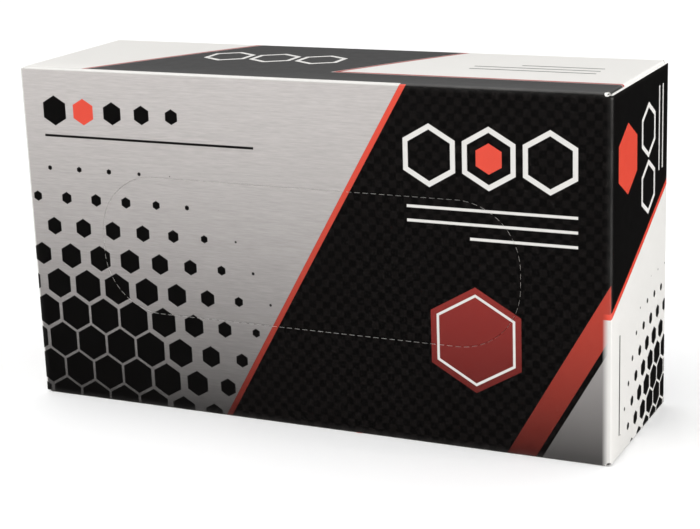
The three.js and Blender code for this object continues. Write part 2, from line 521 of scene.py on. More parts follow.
class PrintedFace:
    """The print of one face, built up layer by layer, from the lowest ink to the highest."""

    def __init__(self, name, across, up, colour):
        self.tree, self.vector = new_material(name)
        self.across = self.along(across)
        self.up = self.along(up)
        self.colour = colour

    def along(self, direction):
        """The place along a direction, in millimetres."""
        dot = add_node(
            self.tree, "ShaderNodeVectorMath", {0: self.vector, 1: tuple(direction)},
            operation="DOT_PRODUCT",
        )
        return maths(self.tree, "DIVIDE", dot.outputs["Value"], MM)

    def distance(self, shape, **inputs):
        """The signed distance in millimetres from one of the shapes of the node groups."""
        settings = {"Across": self.across, "Up": self.up}
        for name, value in inputs.items():
            settings[name.replace("_", " ").title()] = value
        return use_group(self.tree, shape, settings)["Distance"]

    def line(self, start, end):
        """The distance from the line through two places, positive on the right of start to end."""
        turn = math.atan2(start[0] - end[0], end[1] - start[1])
        offset = start[0] * math.cos(turn) + start[1] * math.sin(turn)
        return self.distance("Line", turn=turn, offset=offset)

    def ink(self, distance, stroke=None):
        """The mask of a shape, filled, or as an outline of the given stroke."""
        inputs = {"Distance": distance}
        if stroke is None:
            return use_group(self.tree, "Ink", inputs)["Fill"]
        inputs["Stroke"] = stroke
        return use_group(self.tree, "Ink", inputs)["Outline"]

    def both(self, first, second):
        """Where two masks overlap."""
        return maths(self.tree, "MULTIPLY", first, second)

    def without(self, first, second):
        """The first mask outside the second."""
        return self.both(first, maths(self.tree, "SUBTRACT", 1.0, second))

    def lay(self, mask, colour):
        """Print a colour where mask is 1."""
        self.colour = layer(self.tree, mask, self.colour, colour)

    def hexagon(self, across, up, radius, colour, stroke=None):
        """Print a hexagon, filled, or as an outline of the given stroke."""
        cell = self.distance("Hexagon", centre_across=across, centre_up=up, radius=radius)
        self.lay(self.ink(cell, stroke), colour)

    def rule(self, across, up, length, height, colour):
        """Print a straight rule, or any other bar."""
        bar = self.distance(
            "Bar", centre_across=across, centre_up=up, length=length, height=height
        )
        self.lay(self.ink(bar), colour)

    def chip(self, centre, radius, colour):
        """Ink knocked off about a place on the carton, in metres, down to a colour; the lower
        corner's colour is a painted shadow.
        """
        chip = use_group(
            self.tree, "Chipped Ink", {"Vector": self.vector, "Centre": centre, "Radius": radius}
        )
        self.lay(chip["Mask"], colour)

    def finish(self, roughness):
        """Wear, a painted highlight on the folds, and varnish over the inks."""
        stretch_and_highlight_share = 0.12
        rubbed_share = 0.8
        wear = use_group(self.tree, "Fold Wear", {"Vector": self.vector})
        # Pale fold ink: partly wear, partly a painted highlight
        self.lay(maths(self.tree, "MULTIPLY", wear["Stretch And Highlight"], stretch_and_highlight_share), WORN_AND_HIGHLIGHT_INK)
        self.lay(maths(self.tree, "MULTIPLY", wear["Rubbed"], rubbed_share), WORN_AND_HIGHLIGHT_INK)
        varnish = use_group(
            self.tree, "Varnished Board", {"Vector": self.vector, "Roughness": roughness}
        )
        shader = add_node(
            self.tree, "ShaderNodeBsdfPrincipled",
            {"Base Color": self.colour, "Roughness": varnish["Roughness"],
             "Normal": varnish["Normal"], "IOR": 1.5, "Coat Weight": 0.25, "Coat Roughness": 0.16},
        )
        output = add_node(self.tree, "ShaderNodeOutputMaterial")
        self.tree.links.new(shader.outputs[0], output.inputs[0])


def painted_downward_shade(face, painted_shade_low_share):
    """Painted shade of light that falls off downwards: 1 at the top of a face, and less and less
    towards its lower edge.
    """
    bend = 0.55
    drop = maths(face.tree, "SUBTRACT", 1.0, maths(face.tree, "DIVIDE", face.up, HEIGHT))
    curve = maths(face.tree, "MULTIPLY_ADD", drop, bend, 1 - bend)
    curve = maths(face.tree, "MULTIPLY", drop, curve)
    return maths(face.tree, "MULTIPLY_ADD", curve, painted_shade_low_share - 1, 1.0)


def black_ground(face, black, square):
    """Black ink with faint checks."""
    checks = use_group(
        face.tree, "Fine Checks", {"Across": face.across, "Up": face.up, "Square": square}
    )["Factor"]
    return layer(face.tree, checks, black, shade_of(black, CHECK_LIFT))


class Inks:
    """The inks of the settings, as colours for node sockets."""

    def __init__(self, settings):
        for name in ("silver", "white", "black", "black_with_painted_sheen", "red", "dark_red"):
            setattr(self, name, shade_of(getattr(settings, name), 1))
        # White in painted shade for the large faces, and in painted light for the top
        self.white_with_painted_shade = shade_of(settings.white, WHITE_PAINTED_SHADE_SHARE)
        self.white_with_painted_light = shade_of(settings.white, WHITE_PAINTED_LIGHT_SHARE)
        self.painted_shade_low_share = settings.painted_shade_low_share
        self.roughness = settings.roughness
        self.check = settings.check_size / MM


def large_face(name, inks, mirrored=False):
    """The grounds of a large face: silver with a dark honeycomb, and black past a slanted line.

    A red band slants across its lower right corner.
    """
    face = PrintedFace(name, LEFT if mirrored else RIGHT, UP, None)
    tree = face.tree
    # Painted shade: the silver and the red darken towards the lower edge, where less light falls
    face.shade = painted_downward_shade(face, inks.painted_shade_low_share)
    streaks = use_group(tree, "Brushed Streaks", {"Vector": face.vector})["Factor"]
    silver = maths(tree, "MULTIPLY", streaks, face.shade)
    # A line that slants up to the right divides silver from black, and the silver darkens near it
    darkening = 0.22
    falloff = 0.12
    split = face.line((-34.0, 0.0), (40.0, HEIGHT))
    near = clamped(tree, "MULTIPLY_ADD", split, -falloff, 1.0)
    near = maths(tree, "MULTIPLY", near, near)
    silver = maths(tree, "MULTIPLY", silver, maths(tree, "MULTIPLY_ADD", near, -darkening, 1.0))
    face.colour = scaled_colour(tree, inks.silver, silver)
    # The silver stops short of the folds at the top and at its side, and leaves them white
    above = face.ink(maths(tree, "SUBTRACT", HEIGHT - WHITE_FOLD, face.up))
    beside = face.ink(maths(tree, "ADD", face.across, HALF_LENGTH - WHITE_FOLD))
    face.lay(maths(tree, "MAXIMUM", above, beside), inks.white_with_painted_shade)
    comb = face.distance(
        "Honeycomb", pitch=13.0, gap=1.0, fade_across=-88.0, fade_up=14.0, fade_reach=60.0,
        fade_start=26.0,
    )
    face.lay(face.ink(comb), inks.black)
    field = face.ink(maths(tree, "MULTIPLY", split, -1.0))
    face.lay(field, black_ground(face, inks.black, inks.check))
    # The red in the painted shade
    face.shaded_red = scaled_colour(tree, inks.red, face.shade)
    keyline = maths(tree, "SUBTRACT", split, KEYLINE / 2)
    face.lay(face.ink(keyline, stroke=KEYLINE), face.shaded_red)
    # The red band, with silver beyond it, both in the painted shade
    band_width = 9.0
    silver_start = 6.5
    band = face.line((82.0, 0.0), (156.0, HEIGHT))
    face.lay(face.ink(band, stroke=band_width), face.shaded_red)
    beyond = face.ink(maths(tree, "SUBTRACT", silver_start, band))
    face.lay(beyond, scaled_colour(tree, inks.silver, face.shade))
    return face


def make_front_print(inks):
    """Front face: the grounds, and plain shapes of the photo's scale in a layout of their own."""
    face = large_face("front_print", inks)
    tree = face.tree
    # Three hexagon outlines in a row, with a red core in the middle one
    row_up = 104.0
    row_middle = 71.5
    row_pitch = 21.5
    for across in (row_middle - row_pitch, row_middle, row_middle + row_pitch):
        face.hexagon(across, row_up, LARGE_CELL, inks.white_with_painted_shade, stroke=CELL_STROKE)
    face.hexagon(row_middle, row_up, CELL_CORE, inks.red)
    # Thin rules below them, with their right ends in line
    right_end = 102.5
    for up, length in ((86.0, 61.0), (81.0, 61.0), (76.0, 38.0)):
        face.rule(right_end - length / 2, up, length, RULE, inks.white_with_painted_shade)
    # A large red hexagon with a pale line inside its edge
    badge_place = (66.0, 40.0)
    badge_radius = 16.5
    badge_inset = 2.6
    # The badge's dark red in the painted shade
    dark_red = scaled_colour(tree, inks.dark_red, face.shade)
    face.hexagon(*badge_place, badge_radius, dark_red)
    pale_radius = badge_radius - badge_inset
    face.hexagon(*badge_place, pale_radius, inks.white_with_painted_shade, stroke=THIN_RULE)
    # A row of hexagons at the upper left, each smaller than the last, over a thin rule
    dots_start = -100.0
    dots_up = 112.0
    dot_pitch = 12.5
    dot_radius = 4.9
    dot_shrinkage = 0.6
    for number in range(5):
        ink = inks.red if number == 1 else inks.black
        across = dots_start + dot_pitch * number
        face.hexagon(across, dots_up, dot_radius - dot_shrinkage * number, ink)
    face.rule(across=-61.0, up=102.5, length=88.0, height=THIN_RULE, colour=inks.black)
    # The end's print runs over the crease onto a strip of this face, with a soft edge
    strip_width = 2.1
    crispness = 0.06
    strip = maths(tree, "SUBTRACT", HALF_LENGTH - strip_width, face.across)
    strip = face.ink(maths(tree, "MULTIPLY", strip, crispness))
    white = face.ink(maths(tree, "SUBTRACT", face.up, END_BLACK_LOW))
    line = maths(tree, "SUBTRACT", face.up, END_BLACK_LOW + KEYLINE / 2)
    face.lay(face.both(strip, white), inks.white_with_painted_shade)
    face.lay(face.both(strip, face.ink(line, stroke=KEYLINE)), inks.red)
    face.chip(CHIP_PLACE, CHIP_RADIUS, RAW_BOARD)
    # The lower corner: a worn spot painted dark as a shadow
    face.chip(SHADOWED_SCUFF_PLACE, SHADOWED_SCUFF_RADIUS, PAINTED_SHADOW_BOARD)
    face.finish(inks.roughness)


def make_end_print(inks):
    """Both ends: white below a line that slants up to the back, black above it."""
    face = PrintedFace("end_print", BACK, UP, inks.white)
    comb_inset = 8.0
    comb = face.distance(
        "Honeycomb", pitch=9.0, gap=0.8, fade_across=HALF_DEPTH - comb_inset,
        fade_up=comb_inset, fade_reach=36.0, fade_start=14.0,
    )
    face.lay(face.ink(comb), inks.black)
    split = face.line((-HALF_DEPTH, END_BLACK_LOW), (HALF_DEPTH, END_BLACK_HIGH))
    face.lay(face.ink(split), inks.black)
    keyline = maths(face.tree, "ADD", split, KEYLINE / 2)
    face.lay(face.ink(keyline, stroke=KEYLINE), inks.red)
    face.hexagon(across=-16.0, up=103.0, radius=10.5, colour=inks.red)
    column = 8.5
    column_stroke = 1.6
    for up in (88.0, 108.0):
        face.hexagon(column, up, SMALL_CELL, inks.white, stroke=column_stroke)
    # Upright rules, two at the top and one below
    for across in (22.0, 26.5):
        face.rule(across, up=106.0, length=1.2, height=30.0, colour=inks.white)
    face.rule(across=-24.0, up=26.0, length=RULE, height=36.0, colour=inks.black)
    # The lower corner: a worn spot painted dark as a shadow
    face.chip(SHADOWED_SCUFF_PLACE, SHADOWED_SCUFF_RADIUS, PAINTED_SHADOW_BOARD)
    face.finish(inks.roughness)


def make_top_print(inks):
    """Top: white, with a black slanted field that runs on as a band along the front's edge."""
    face = PrintedFace("top_print", RIGHT, BACK, inks.white_with_painted_light)
    tree = face.tree
    left_line = face.line((-86.0, -HALF_DEPTH), (-46.0, HALF_DEPTH))
    right_line = face.line((-2.0, -HALF_DEPTH), (38.0, HALF_DEPTH))
    field = maths(tree, "MAXIMUM", maths(tree, "MULTIPLY", left_line, -1.0), right_line)
    # The band starts inside the field
    band_start = -20.0
    band = maths(tree, "ADD", face.up, HALF_DEPTH - TOP_BAND)
    band = maths(tree, "MAXIMUM", band, maths(tree, "SUBTRACT", band_start, face.across))
    ground = maths(tree, "MINIMUM", field, band)
    # The top's black, paler as a painted sheen
    face.lay(face.ink(ground), inks.black_with_painted_sheen)
    keyline_width = 1.5
    keyline = maths(tree, "SUBTRACT", ground, KEYLINE / 2)
    face.lay(face.ink(keyline, stroke=keyline_width), inks.dark_red)
    row_up = 5.0
    for across in (-46.0, -27.0, -8.0):
        face.hexagon(across, row_up, SMALL_CELL, inks.white_with_painted_light, stroke=CELL_STROKE)
    for up, length in ((0.0, 46.0), (5.0, 46.0), (10.0, 30.0)):
        face.rule(RULES_RIGHT_END - length / 2, up, length, RULE, inks.black_with_painted_sheen)
    # The crease beside the front's silver is white, and beside its black field it is black
    black_start = 40.0
    beyond = face.ink(maths(tree, "SUBTRACT", black_start, face.across))
    fold = face.ink(maths(tree, "ADD", face.up, HALF_DEPTH - WHITE_FOLD))
    face.lay(face.without(fold, beyond), inks.white_with_painted_shade)
    face.chip(CHIP_PLACE, CHIP_RADIUS, RAW_BOARD)
    face.finish(inks.roughness)


def make_bottom_print(inks):
    """Bottom: white with one red keyline, a row of outlines and a few rules."""
    face = PrintedFace("bottom_print", RIGHT, BACK, inks.white)
    line = face.line((20.0, -HALF_DEPTH), (60.0, HALF_DEPTH))
    face.lay(face.ink(line, stroke=KEYLINE), inks.red)
    for across in (-84.0, -65.0, -46.0):
        face.hexagon(across, 0.0, SMALL_CELL, inks.black, stroke=CELL_STROKE)
    for up, length in ((-5.0, 30.0), (0.0, 30.0), (5.0, 20.0)):
        face.rule(RULES_RIGHT_END - length / 2, up, length, RULE, inks.black)
    face.finish(inks.roughness)


def make_back_print(inks):
    """Back: the front's grounds, mirrored, with a column of outlines and rules."""
    face = large_face("back_print", inks, mirrored=True)
    column = 96.0
    middle_up = 82.5
    pitch = 20.5
    right_end = 82.0
    for up in (middle_up + pitch, middle_up, middle_up - pitch):
        face.hexagon(column, up, LARGE_CELL, inks.white_with_painted_shade, stroke=CELL_STROKE)
        for below, length in ((3.0, 34.0), (-3.0, 26.0)):
            face.rule(right_end - length / 2, up + below, length, RULE, inks.white_with_painted_shade)
    face.hexagon(column, middle_up, CELL_CORE, inks.red)
    # Rules at the upper left, with their left ends in line
    left_end = -100.0
    for up, length in ((112.0, 70.0), (106.0, 70.0), (100.0, 70.0), (94.0, 44.0)):
        face.rule(left_end + length / 2, up, length, THIN_RULE, inks.black)
    face.finish(inks.roughness)


def make_bare_board(name, colour, fleck_colour, roughness):
    """Unprinted board, for the inside face and the cut edges."""
    tree, vector = new_material(name)
    fibres = use_group(tree, "Board Fibres", {"Vector": vector})
    fibrous = scaled_colour(tree, colour, fibres["Factor"])
    flecked = layer(tree, fibres["Fleck"], fibrous, fleck_colour + (1,))
    shader = add_node(
        tree, "ShaderNodeBsdfPrincipled",
        {"Base Color": flecked, "Roughness": roughness, "Normal": fibres["Normal"]},
    )
    output = add_node(tree, "ShaderNodeOutputMaterial")
    tree.links.new(shader.outputs[0], output.inputs[0])


# Shapes

def bow_of(place, amount):
    """How a place on the carton's outside moves, where a face's middle moves by an amount."""
    shares = [(place[axis] - CENTRE[axis]) / (HALF[axis] - FOLD) for axis in range(3)]
    rises = [max(0.0, 1 - share * share) for share in shares]
    deepest = max(range(3), key=lambda axis: abs(shares[axis]))
    level = amount
    for axis in range(3):
        if axis != deepest:
            level *= rises[axis]
    offset = Vector((0, 0, 0))
    offset[deepest] = math.copysign(level, shares[deepest])
    return offset


# A point this close to a cutting plane lies on it, in metres
ON_PLANE = 1e-7

# Edges that turn more than this look sharp
SHARP_ANGLE = math.radians(25)

# The frame's flaps draw in towards their tips: by how much at each side, and the tips' radius
DUST_FLAP_TRIM = (5 * MM, 6 * MM)
GLUE_FLAP_TRIM = (6 * MM, 2 * MM)


def cut_mesh(bm, point, normal, clear_outer=False):
    """Cuts all of a mesh by a plane, and gives the edges of the cut."""
    cut = bmesh.ops.bisect_plane(
        bm, geom=bm.verts[:] + bm.edges[:] + bm.faces[:], dist=ON_PLANE,
        plane_co=point, plane_no=normal, clear_outer=clear_outer,
    )
    return parts_of(cut["geom_cut"], bmesh.types.BMEdge)


def parts_of(geometry, kind):
    """The vertices, edges or faces among what an operator gave."""
    return [item for item in geometry if isinstance(item, kind)]


def cut_in_steps(bm, direction, low, high, step):
    """Cuts a mesh into equal stretches, about a step long, between two places."""
    count = max(2, round((high - low) / step))
    for number in range(1, count):
        place = low + (high - low) * number / count
        cut_mesh(bm, direction * place, direction)


def finish_piece(bm, name, prints, body, node):
    """Makes a mesh object of a bmesh, and hands it to the frame in place of a CAD node."""
    bmesh.ops.recalc_face_normals(bm, faces=bm.faces[:])
    mesh = bpy.data.meshes.new(name)
    bm.to_mesh(mesh)
    bm.free()
    for material in (*prints, "board_inside", "board_edge"):
        mesh.materials.append(bpy.data.materials[material])
    mesh.shade_smooth()
    mesh.set_sharp_from_angle(angle=SHARP_ANGLE)
    piece = bpy.data.objects.new(name, mesh)
    bpy.context.scene.collection.objects.link(piece)
    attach(piece, body)
    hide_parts(node)


def mask_of(vector):
    """1 on the axes that a direction uses, and 0 on the others."""
    return Vector([abs(value) for value in vector])


class FoldedPlace:
    """Where a folded panel lies: its fold's start on the parent, and its reach and width."""

    def __init__(self, node, along, normal):
        low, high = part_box(node)
        self.along = along
        self.normal = normal
        self.across = along.cross(normal)
        corner = Vector([
            high[axis] if along[axis] + normal[axis] > 0 else low[axis] for axis in range(3)
        ])
        size = high - low
        middle = (low + high) / 2
        self.reach = size.dot(mask_of(normal))
        self.width = size.dot(mask_of(self.across))
        out = corner.dot(along) - FOLD
        self.start = along * out + normal * corner.dot(normal)
        self.start += self.across * middle.dot(self.across)
        self.centre = self.start - normal * FOLD


def folded_board(place, fold_steps):
    """A closed bmesh of a panel and its fold: the board's section is turned, then drawn out."""
    bm = bmesh.new()
    near = place.start - place.across * (place.width / 2)
    ends = [bm.verts.new(near), bm.verts.new(near - place.normal * BOARD)]
    edge = bm.edges.new(ends)
    turned = bmesh.ops.spin(
        bm, geom=ends + [edge], cent=place.centre, axis=place.across, angle=-QUARTER,
        steps=fold_steps, use_merge=False, use_duplicate=False,
    )
    last = parts_of(turned["geom_last"], bmesh.types.BMEdge)
    drawn = bmesh.ops.extrude_edge_only(bm, edges=last)
    moved = parts_of(drawn["geom"], bmesh.types.BMVert)
    bmesh.ops.translate(bm, verts=moved, vec=-place.normal * (place.reach - FOLD))
    section = bm.faces[:]
    drawn = bmesh.ops.extrude_face_region(bm, geom=section, use_keep_orig=True)
    moved = parts_of(drawn["geom"], bmesh.types.BMVert)
    bmesh.ops.translate(bm, verts=moved, vec=place.across * place.width)
    bmesh.ops.recalc_face_normals(bm, faces=bm.faces[:])
    return bm


def trim_flap(bm, place, taper, tip_radius):
    """Cuts a flap's sides in towards its tip and takes off the tip's corners."""
    corner_share = 0.6
    length = place.reach - FOLD
    for side in (-1, 1):
        root = place.centre + place.across * side * place.width / 2
        slant = math.atan2(taper, length)
        for turn in (slant, slant + QUARTER / 2):
            normal = place.across * side * math.cos(turn) - place.normal * math.sin(turn)
            point = root
            if turn != slant:
                tip = root - place.normal * length - place.across * side * taper
                point = tip + place.normal * tip_radius * corner_share
            rim = cut_mesh(bm, point, normal, clear_outer=True)
            bmesh.ops.holes_fill(bm, edges=rim, sides=0)


def paint_folded(bm, place):
    """Gives each face of a folded panel its material: print outside, bare inside, raw edges."""
    squarely = 0.7
    for face in bm.faces:
        centre = face.calc_center_median() - place.centre
        out = Vector((0, 0, 0)) + place.along * centre.dot(place.along)
        if centre.dot(place.normal) > 0:
            out += place.normal * centre.dot(place.normal)
        facing = face.normal.dot(out.normalized()) if out.length > 0 else 0.0
        if facing > squarely and out.length > FOLD - BOARD / 2:
            near_parent = out.normalized().dot(place.normal) > math.cos(QUARTER / 2)
            face.material_index = PARENT_PRINT if near_parent else PRINT
        elif facing < -squarely:
            face.material_index = INSIDE
        else:
            face.material_index = CUT_EDGE


def add_folded_panel(name, node, along, normal, prints, board, bow=0.0, trim=None):
    """One panel or flap with its fold, in place of its CAD node."""
    place = FoldedPlace(node, along, normal)
    bm = folded_board(place, board.fold_steps)
    if trim is not None:
        trim_flap(bm, place, *trim)
    if bow:
        low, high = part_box(node)
        for direction in (mask_of(place.across), mask_of(place.normal)):
            start = low.dot(direction) + FOLD
            end = high.dot(direction) - FOLD
            cut_in_steps(bm, direction, start, end, board.bow_step)
    bmesh.ops.recalc_face_normals(bm, faces=bm.faces[:])
    paint_folded(bm, place)
    if bow:
        for vertex in bm.verts:
            vertex.co += bow_of(vertex.co, bow)
    finish_piece(bm, name, prints, "carton", node)


def perforation(cuts, side):
    """The outline of the opening or of the tear-out panel, as rows of (place, direction, cut).

    It follows the middle of the slit. Cut is 1 in a cut and 0 at a tie. Side is 1 for the opening
    and -1 for the panel in it, which start from the same middle line.
    """
    slit = (TEAR_BOX[1] - TEAR_BOX[0]) / 2
    middle = (TEAR_BOX[0] + TEAR_BOX[1]) / 2
    half_x = slit.x + cuts.kerf / 2
    half_z = slit.z + cuts.kerf / 2
    radius = min(cuts.corner_radius, half_z)
    straight_x = 2 * (half_x - radius)
    straight_z = 2 * (half_z - radius)
    arc = QUARTER * radius
    runs = (straight_z, arc, straight_x, arc) * 2
    total = sum(runs)
    count = round(total / (cuts.cut + cuts.tie))
    pitch = total / count
    corner = cuts.corner_step

    def place_at(distance):
        """Place and outward direction at a distance along the outline from its right side."""
        turn = 0.0
        x = half_x - radius
        z = -(half_z - radius)
        for number, run in enumerate(runs):
            heading = Vector((-math.sin(turn), 0, math.cos(turn)))
            outward = Vector((math.cos(turn), 0, math.sin(turn)))
            if distance <= run:
                break
            distance -= run
            if number % 2 == 0:
                x += heading.x * run
                z += heading.z * run
            else:
                turn += QUARTER
        if number % 2 == 1:
            turn += distance / radius
            outward = Vector((math.cos(turn), 0, math.sin(turn)))
            distance = 0.0
        centre = Vector((middle.x + x, FRONT_BOX[0].y, middle.z + z))
        return centre + heading * distance + outward * radius, outward

    rows = []
    for number in range(count):
        start = number * pitch
        for along, is_cut in (
            (0.0, 0), (corner, 1), (cuts.cut - corner, 1), (cuts.cut, 0),
        ):
            place, outward = place_at(start + along)
            rows.append((place, outward * side, is_cut))
    return rows


def perforated_edge(bm, cuts, side):
    """A closed loop of edges along the perforation, on the outer face of the board."""
    rows = perforation(cuts, side)
    row_number = bm.verts.layers.int.new("row")
    ring = []
    for number, (place, outward, is_cut) in enumerate(rows):
        gap = cuts.slit / 2 + cuts.lip if is_cut else cuts.tie_gap / 2
        ring.append(bm.verts.new(place + outward * gap))
        ring[-1][row_number] = number
    return rows, [bm.edges.new((ring[n - 1], ring[n])) for n in range(len(ring))]


def lower_lips(bm, cuts, rows, edges):
    """Draws the cut's rim down into the slit, as a lip pressed in by the cutting rule."""
    row_number = bm.verts.layers.int["row"]
    drawn = bmesh.ops.extrude_edge_only(bm, edges=edges)
    for vertex in parts_of(drawn["geom"], bmesh.types.BMVert):
        place, outward, is_cut = rows[vertex[row_number]]
        gap = cuts.slit / 2 if is_cut else cuts.tie_gap / 2
        vertex.co = place + outward * gap + BACK * cuts.lip_depth


def add_perforated_panel(name, node, body, cuts, board, side):
    """The front panel with its opening, or the tear-out panel, in place of its CAD node."""
    bm = bmesh.new()
    rows, edges = perforated_edge(bm, cuts, side)
    sheet_edges = list(edges)
    low, high = FRONT_BOX
    if side > 0:
        corners = [bm.verts.new((x, low.y, z)) for x, z in (
            (low.x, low.z), (high.x, low.z), (high.x, high.z), (low.x, high.z),
        )]
        sheet_edges += [bm.edges.new((corners[n], corners[n - 1])) for n in range(4)]
    bmesh.ops.triangle_fill(bm, edges=sheet_edges, use_beauty=True)
    lower_lips(bm, cuts, rows, edges)
    for direction in (RIGHT, UP):
        cut_in_steps(bm, direction, low.dot(direction), high.dot(direction), board.bow_step)
    bmesh.ops.recalc_face_normals(bm, faces=bm.faces[:])
    outer = bm.faces[:]
    drawn = bmesh.ops.extrude_face_region(bm, geom=outer, use_keep_orig=True)
    inner = parts_of(drawn["geom"], bmesh.types.BMFace)
    moved = parts_of(drawn["geom"], bmesh.types.BMVert)
    for vertex in moved:
        vertex.co.y = high.y
    for face in bm.faces:
        face.material_index = CUT_EDGE
    for face in inner:
        face.material_index = INSIDE
    for face in outer:
        face.material_index = PRINT
    bmesh.ops.remove_doubles(bm, verts=moved, dist=cuts.tie_gap / 4)
    for vertex in bm.verts:
        vertex.co += bow_of(vertex.co, board.front_bow)
    finish_piece(bm, name, ("front_print", "front_print"), body, node)


# Settings

class CartonBoard(bpy.types.PropertyGroup):
    """How the board folds and bows."""

    fold_steps: IntProperty(
        name="Fold steps", description="Straight pieces in each quarter-turn fold", default=6, min=2
    )
    front_bow: FloatProperty(
        name="Front bow", description="How far the middle of a large face stands out",
        default=0.4 * MM, unit="LENGTH",
    )
    side_bow: FloatProperty(
        name="Side bow", description="How far the middle of the top or of an end stands out",
        default=0.2 * MM, unit="LENGTH",
    )
    bow_step: FloatProperty(
        name="Bow step", description="Length of the flat pieces of a bowed face",
        default=10 * MM, unit="LENGTH",
    )


class CartonPerforation(bpy.types.PropertyGroup):
    """The row of cuts and ties round the tear-out panel."""

    cut: FloatProperty(
        name="Cut", description="Length of one cut", default=2.2 * MM, unit="LENGTH"
    )
    tie: FloatProperty(
        name="Tie", description="Length of one tie between cuts", default=0.9 * MM, unit="LENGTH"
    )
    slit: FloatProperty(
        name="Slit", description="Width of a cut through the board",
        default=0.12 * MM, unit="LENGTH",
    )
    lip: FloatProperty(
        name="Lip", description="Width of the lip pressed in along each side of a cut",
        default=0.14 * MM, unit="LENGTH",
    )
    lip_depth: FloatProperty(
        name="Lip depth", description="How far the lip is pressed in",
        default=0.09 * MM, unit="LENGTH",
    )
    tie_gap: FloatProperty(
        name="Tie gap", description="Hairline between the two halves of a tie",
        default=0.01 * MM, unit="LENGTH",
    )
    corner_step: FloatProperty(
        name="Cut end", description="Length of the rounded end of a cut",
        default=0.2 * MM, unit="LENGTH",
    )
    corner_radius: FloatProperty(
        name="Corner radius", description="Radius of the outline's corners",
        default=23.05 * MM, unit="LENGTH",
    )
    kerf: FloatProperty(
        name="Kerf", description="Space that the slit has in the frame",
        default=0.3 * MM, unit="LENGTH",
    )


class CartonPrint(bpy.types.PropertyGroup):
    """The inks and the varnish."""

    silver: FloatVectorProperty(
        name="Silver", description="Brushed silver at its lightest", subtype="COLOR",
        default=(0.64, 0.603, 0.585),
    )
    # Painted shade: what the darkening towards the bottom leaves of the silver and the red
    painted_shade_low_share: FloatProperty(
        name="Share at the bottom", subtype="FACTOR", default=0.08, min=0, max=1,
        description="What the printed gradient leaves of the silver and the red at the bottom",
    )
    white: FloatVectorProperty(
        name="White", description="White print", subtype="COLOR", default=(0.77, 0.755, 0.725)
    )
    black: FloatVectorProperty(
        name="Black", description="Black ink", subtype="COLOR", default=(0.0024, 0.00175, 0.0016)
    )
    # Painted sheen: the top's black is paler, standing in for the gloss that the top reflects
    black_with_painted_sheen: FloatVectorProperty(
        name="Top black", description="Black ink of the top, paler with handling", subtype="COLOR",
        default=(0.018, 0.017, 0.0165),
    )
    red: FloatVectorProperty(
        name="Red", description="Red ink", subtype="COLOR", default=(0.72, 0.06, 0.03)
    )
    dark_red: FloatVectorProperty(
        name="Dark red", description="Darker red ink", subtype="COLOR", default=(0.42, 0.03, 0.022)
    )
    roughness: FloatProperty(
        name="Roughness", description="Roughness of the varnish", default=0.36, subtype="FACTOR"
    )
    check_size: FloatProperty(
        name="Check size", description="Side of a square of the faint checks in the black",
        default=2.7 * MM, unit="LENGTH",
    )


class CartonStage(bpy.types.PropertyGroup):
    """The camera, the floor and the lights."""

    camera_place: FloatVectorProperty(
        name="Camera place", description="Where the camera stands", subtype="TRANSLATION",
        unit="LENGTH", default=(0.27822, -0.57682, 0.2311),
    )
    heading: FloatProperty(
        name="Heading", description="Turn of the view to the left of +Y", subtype="ANGLE",
        default=math.radians(25.497),
    )
    tilt: FloatProperty(
        name="Tilt", description="How far the view looks down", subtype="ANGLE",
        default=math.radians(15.6),
    )
    roll: FloatProperty(
        name="Roll", description="Turn of the picture", subtype="ANGLE",
        default=math.radians(-2.015),
    )
    lens: FloatProperty(
        name="Lens", description="Focal length for the sensor's width", default=91.68
    )
    sensor_width: FloatProperty(
        name="Sensor width", description="Width of the sensor in millimetres", default=36
    )
    sky_low: FloatProperty(
        name="Light from below", description="Strength of the sky below the horizon", default=0.02
    )
    sky_high: FloatProperty(
        name="Light from above", description="Strength of the sky overhead", default=0.82
    )
    floor_radius: FloatProperty(
        name="Floor radius", description="Radius of the round pale floor", default=2.6,
        unit="LENGTH",
    )
    rim_radius: FloatProperty(
        name="Rim radius", description="Radius of the curve up to the wall", default=0.7,
        unit="LENGTH",
    )
    wall_height: FloatProperty(
        name="Wall height", description="Height of the wall above the curve", default=1.2,
        unit="LENGTH",
    )


# Operators

class CARTON_OT_materials(bpy.types.Operator):
    """Make the inks, the varnish and the bare board"""

    bl_idname = "carton.materials"
    bl_label = "Make materials"

    def execute(self, context):
        make_groups()
        inks = Inks(context.scene.carton_print)
        for make in (
            make_front_print, make_back_print, make_end_print, make_top_print, make_bottom_print,
        ):
            make(inks)
        make_bare_board(
            "board_inside", colour=(0.42, 0.37, 0.31), fleck_colour=(0.16, 0.13, 0.1),
            roughness=0.85,
        )
        make_bare_board(
            "board_edge", colour=RAW_BOARD[:3], fleck_colour=(0.66, 0.64, 0.6), roughness=0.8,
        )
        return {"FINISHED"}


class CARTON_OT_front(bpy.types.Operator):
    """Make the front panel and the tear-out panel that its perforation holds"""

    bl_idname = "carton.front"
    bl_label = "Make front and tear-out panel"

    def execute(self, context):
        board = context.scene.carton_board
        cuts = context.scene.carton_perforation
        add_perforated_panel("front_board", "front_panel", "carton", cuts, board, 1)
        add_perforated_panel("tear_out_board", "tear_panel", "tear_out", cuts, board, -1)
        return {"FINISHED"}


